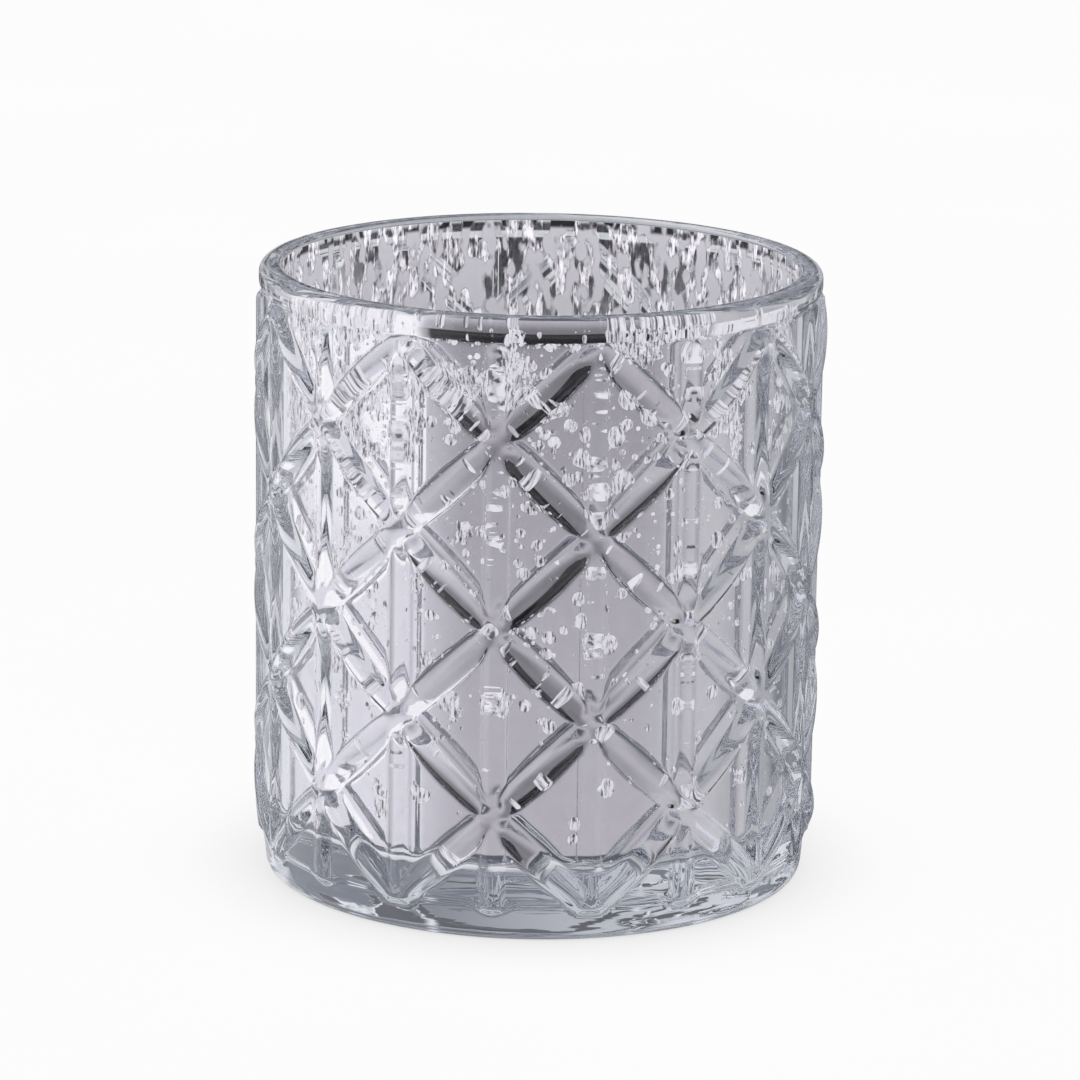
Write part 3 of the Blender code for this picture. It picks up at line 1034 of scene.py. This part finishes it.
def backdrop_colour(s, azimuth, elevation):
    from_behind = s.math("SUBTRACT", 180.0, s.math("ABSOLUTE", azimuth))
    strips = [(from_behind, DARK_UPRIGHT_HALF_WIDTH)]
    strips += [(offset_from(s, azimuth, middle), half_width) for middle, half_width in DARK_STRIPS]
    colour = BACKDROP_BRIGHT
    for offset, half_width in strips:
        strip = s.smooth(offset, half_width + STRIP_SOFTNESS, half_width)
        colour = s.mix_colour(strip, colour, STRIP_COLOUR)
    level = s.smooth(s.math("ABSOLUTE", elevation), *LEVEL_REACH)
    colour = s.mix_colour(level, colour, BACKDROP_LEVEL)
    in_band = s.product(s.smooth(elevation, *BACKDROP_RISE), s.smooth(elevation, *BACKDROP_FALL))
    rightness = s.math("SINE", s.product(azimuth, pi / 180))
    dim = s.mix_colour(s.smooth(rightness, *LEFT_TO_RIGHT), BACKDROP_DIM_LEFT, BACKDROP_DIM_RIGHT)
    colour = s.mix_colour(in_band, dim, colour)
    for middle, half_width in DIM_LINES:
        line = s.smooth(offset_from(s, elevation, middle), 2.0 * half_width, half_width)
        colour = s.mix_colour(line, colour, DIM_LINE_COLOUR)
    return colour


def studio_sky(s, direction):
    """Colour of the surroundings: a grey table, softboxes left and right, a dark camera side
    and a bright backdrop with dark uprights."""
    azimuth = azimuth_from_camera(s, direction)
    elevation = in_degrees(s, s.math("ARCSINE", s.split(direction)["Z"]))
    above = s.mix_colour(s.smooth(elevation, *CEILING_RISE), ROOM, CEILING)
    over_table = s.smooth(elevation, HORIZON - HORIZON_SOFTNESS, HORIZON + HORIZON_SOFTNESS)
    colour = s.mix_colour(over_table, table_colour(s, azimuth, elevation), above)
    for left, right, low, high, soft, tone in PANELS:
        colour = s.mix_colour(panel(s, azimuth, elevation, left, right, low, high, soft), colour, tone)
    behind = s.smooth(s.math("ABSOLUTE", azimuth), *BACKDROP_EDGE)
    return s.mix_colour(behind, colour, backdrop_colour(s, azimuth, elevation))


def make_world():
    world = bpy.data.worlds.new("studio")
    bpy.context.scene.world = world
    world.use_nodes = True
    world.cycles.sampling_method = "NONE"
    s = Shader(world.node_tree)
    direction = s.node("ShaderNodeTexCoord").outputs["Generated"]
    path = s.node("ShaderNodeLightPath").outputs
    after_matt = s.math("GREATER_THAN", path["Diffuse Depth"], 0.5)
    after_mirror = s.math("GREATER_THAN", path["Glossy Depth"], 0.5)
    in_and_out = s.math("COMPARE", path["Transmission Depth"], 2.0, 0.5)
    deep = s.product(after_mirror, in_and_out, DEEP_SHARE)
    sky = s.mix_colour(deep, studio_sky(s, direction), DEEP_GLASS)
    colour = s.mix_colour(after_matt, sky, OVERHEAD)
    colour = s.mix_colour(path["Is Camera Ray"], colour, PALE)
    background = s.node("ShaderNodeBackground", Color=colour, Strength=1.0)
    s.node("ShaderNodeOutputWorld", Surface=background.outputs[0])


# Floor: a pale sweep
FLOOR_HALF_SIZE = 4.0
CONTACT_REACH = 20.0 * MM
CONTACT_SAMPLES = 8
CONTACT_SHADE = 0.74
MOTTLE_SCALE = 9.0
MOTTLE_SHADE = 0.985


def floor_material():
    """A pale sweep with a soft contact shadow, which the glass itself sees as studio light."""
    material, s = new_material("pale_floor")
    contact = s.node("ShaderNodeAmbientOcclusion", Distance=CONTACT_REACH)
    contact.samples = CONTACT_SAMPLES
    shade = s.smooth(contact.outputs["AO"], 0.0, 1.0, CONTACT_SHADE, 1.0)
    mottle = s.smooth(s.noise(s.position(), MOTTLE_SCALE), 0.0, 1.0, MOTTLE_SHADE, 1.0)
    tone = s.product(shade, mottle)
    pale = s.node("ShaderNodeEmission", Color=(*PALE, 1.0), Strength=tone)
    through = s.node("ShaderNodeBsdfTransparent")
    seen = s.node("ShaderNodeLightPath").outputs["Is Camera Ray"]
    s.surface(s.mix_shader(seen, through.outputs[0], pale.outputs[0]))
    return material


def make_floor():
    mesh = bpy.data.meshes.new("floor")
    half = FLOOR_HALF_SIZE
    corners = [(-half, -half, 0), (half, -half, 0), (half, half, 0), (-half, half, 0)]
    mesh.from_pydata(corners, [], [(0, 1, 2, 3)])
    mesh.materials.append(floor_material())
    floor = bpy.data.objects.new("floor", mesh)
    bpy.context.scene.collection.objects.link(floor)


# Camera: where it stands, in the row frame, and how it is turned
CAMERA_PLACE = (2.6 * MM, -644.9 * MM, 205.2 * MM)
CAMERA_PITCH = radians(14.10)  # downwards
CAMERA_YAW = radians(-0.20)
CAMERA_ROLL = radians(0.84)
CAMERA_LENS = 170.1
CAMERA_SENSOR = 36.0


def make_camera():
    data = bpy.data.cameras.new("camera")
    data.lens = CAMERA_LENS
    data.sensor_width = CAMERA_SENSOR
    data.clip_start = 0.01
    data.clip_end = 20.0
    camera = bpy.data.objects.new("camera", data)
    bpy.context.scene.collection.objects.link(camera)
    turn = (
        Matrix.Rotation(-CAMERA_YAW, 4, "Z")
        @ Matrix.Rotation(pi / 2 - CAMERA_PITCH, 4, "X")
        @ Matrix.Rotation(CAMERA_ROLL, 4, "Z")
    )
    camera.matrix_world = Matrix.Translation(CAMERA_PLACE) @ turn
    bpy.context.scene.camera = camera


def set_colour_and_bounces():
    scene = bpy.context.scene
    scene.view_settings.view_transform = "Standard"
    scene.view_settings.look = "None"
    scene.cycles.max_bounces = 24
    scene.cycles.transmission_bounces = 20
    scene.cycles.glossy_bounces = 12
    scene.cycles.transparent_max_bounces = 24
    scene.cycles.diffuse_bounces = 3


def main():
    make_glass_body()
    make_silver_lining()
    make_tealight_cup()
    make_tealight_wax()
    make_wick()
    dress_sustainer()
    make_world()
    make_floor()
    make_camera()
    set_colour_and_bounces()


main()
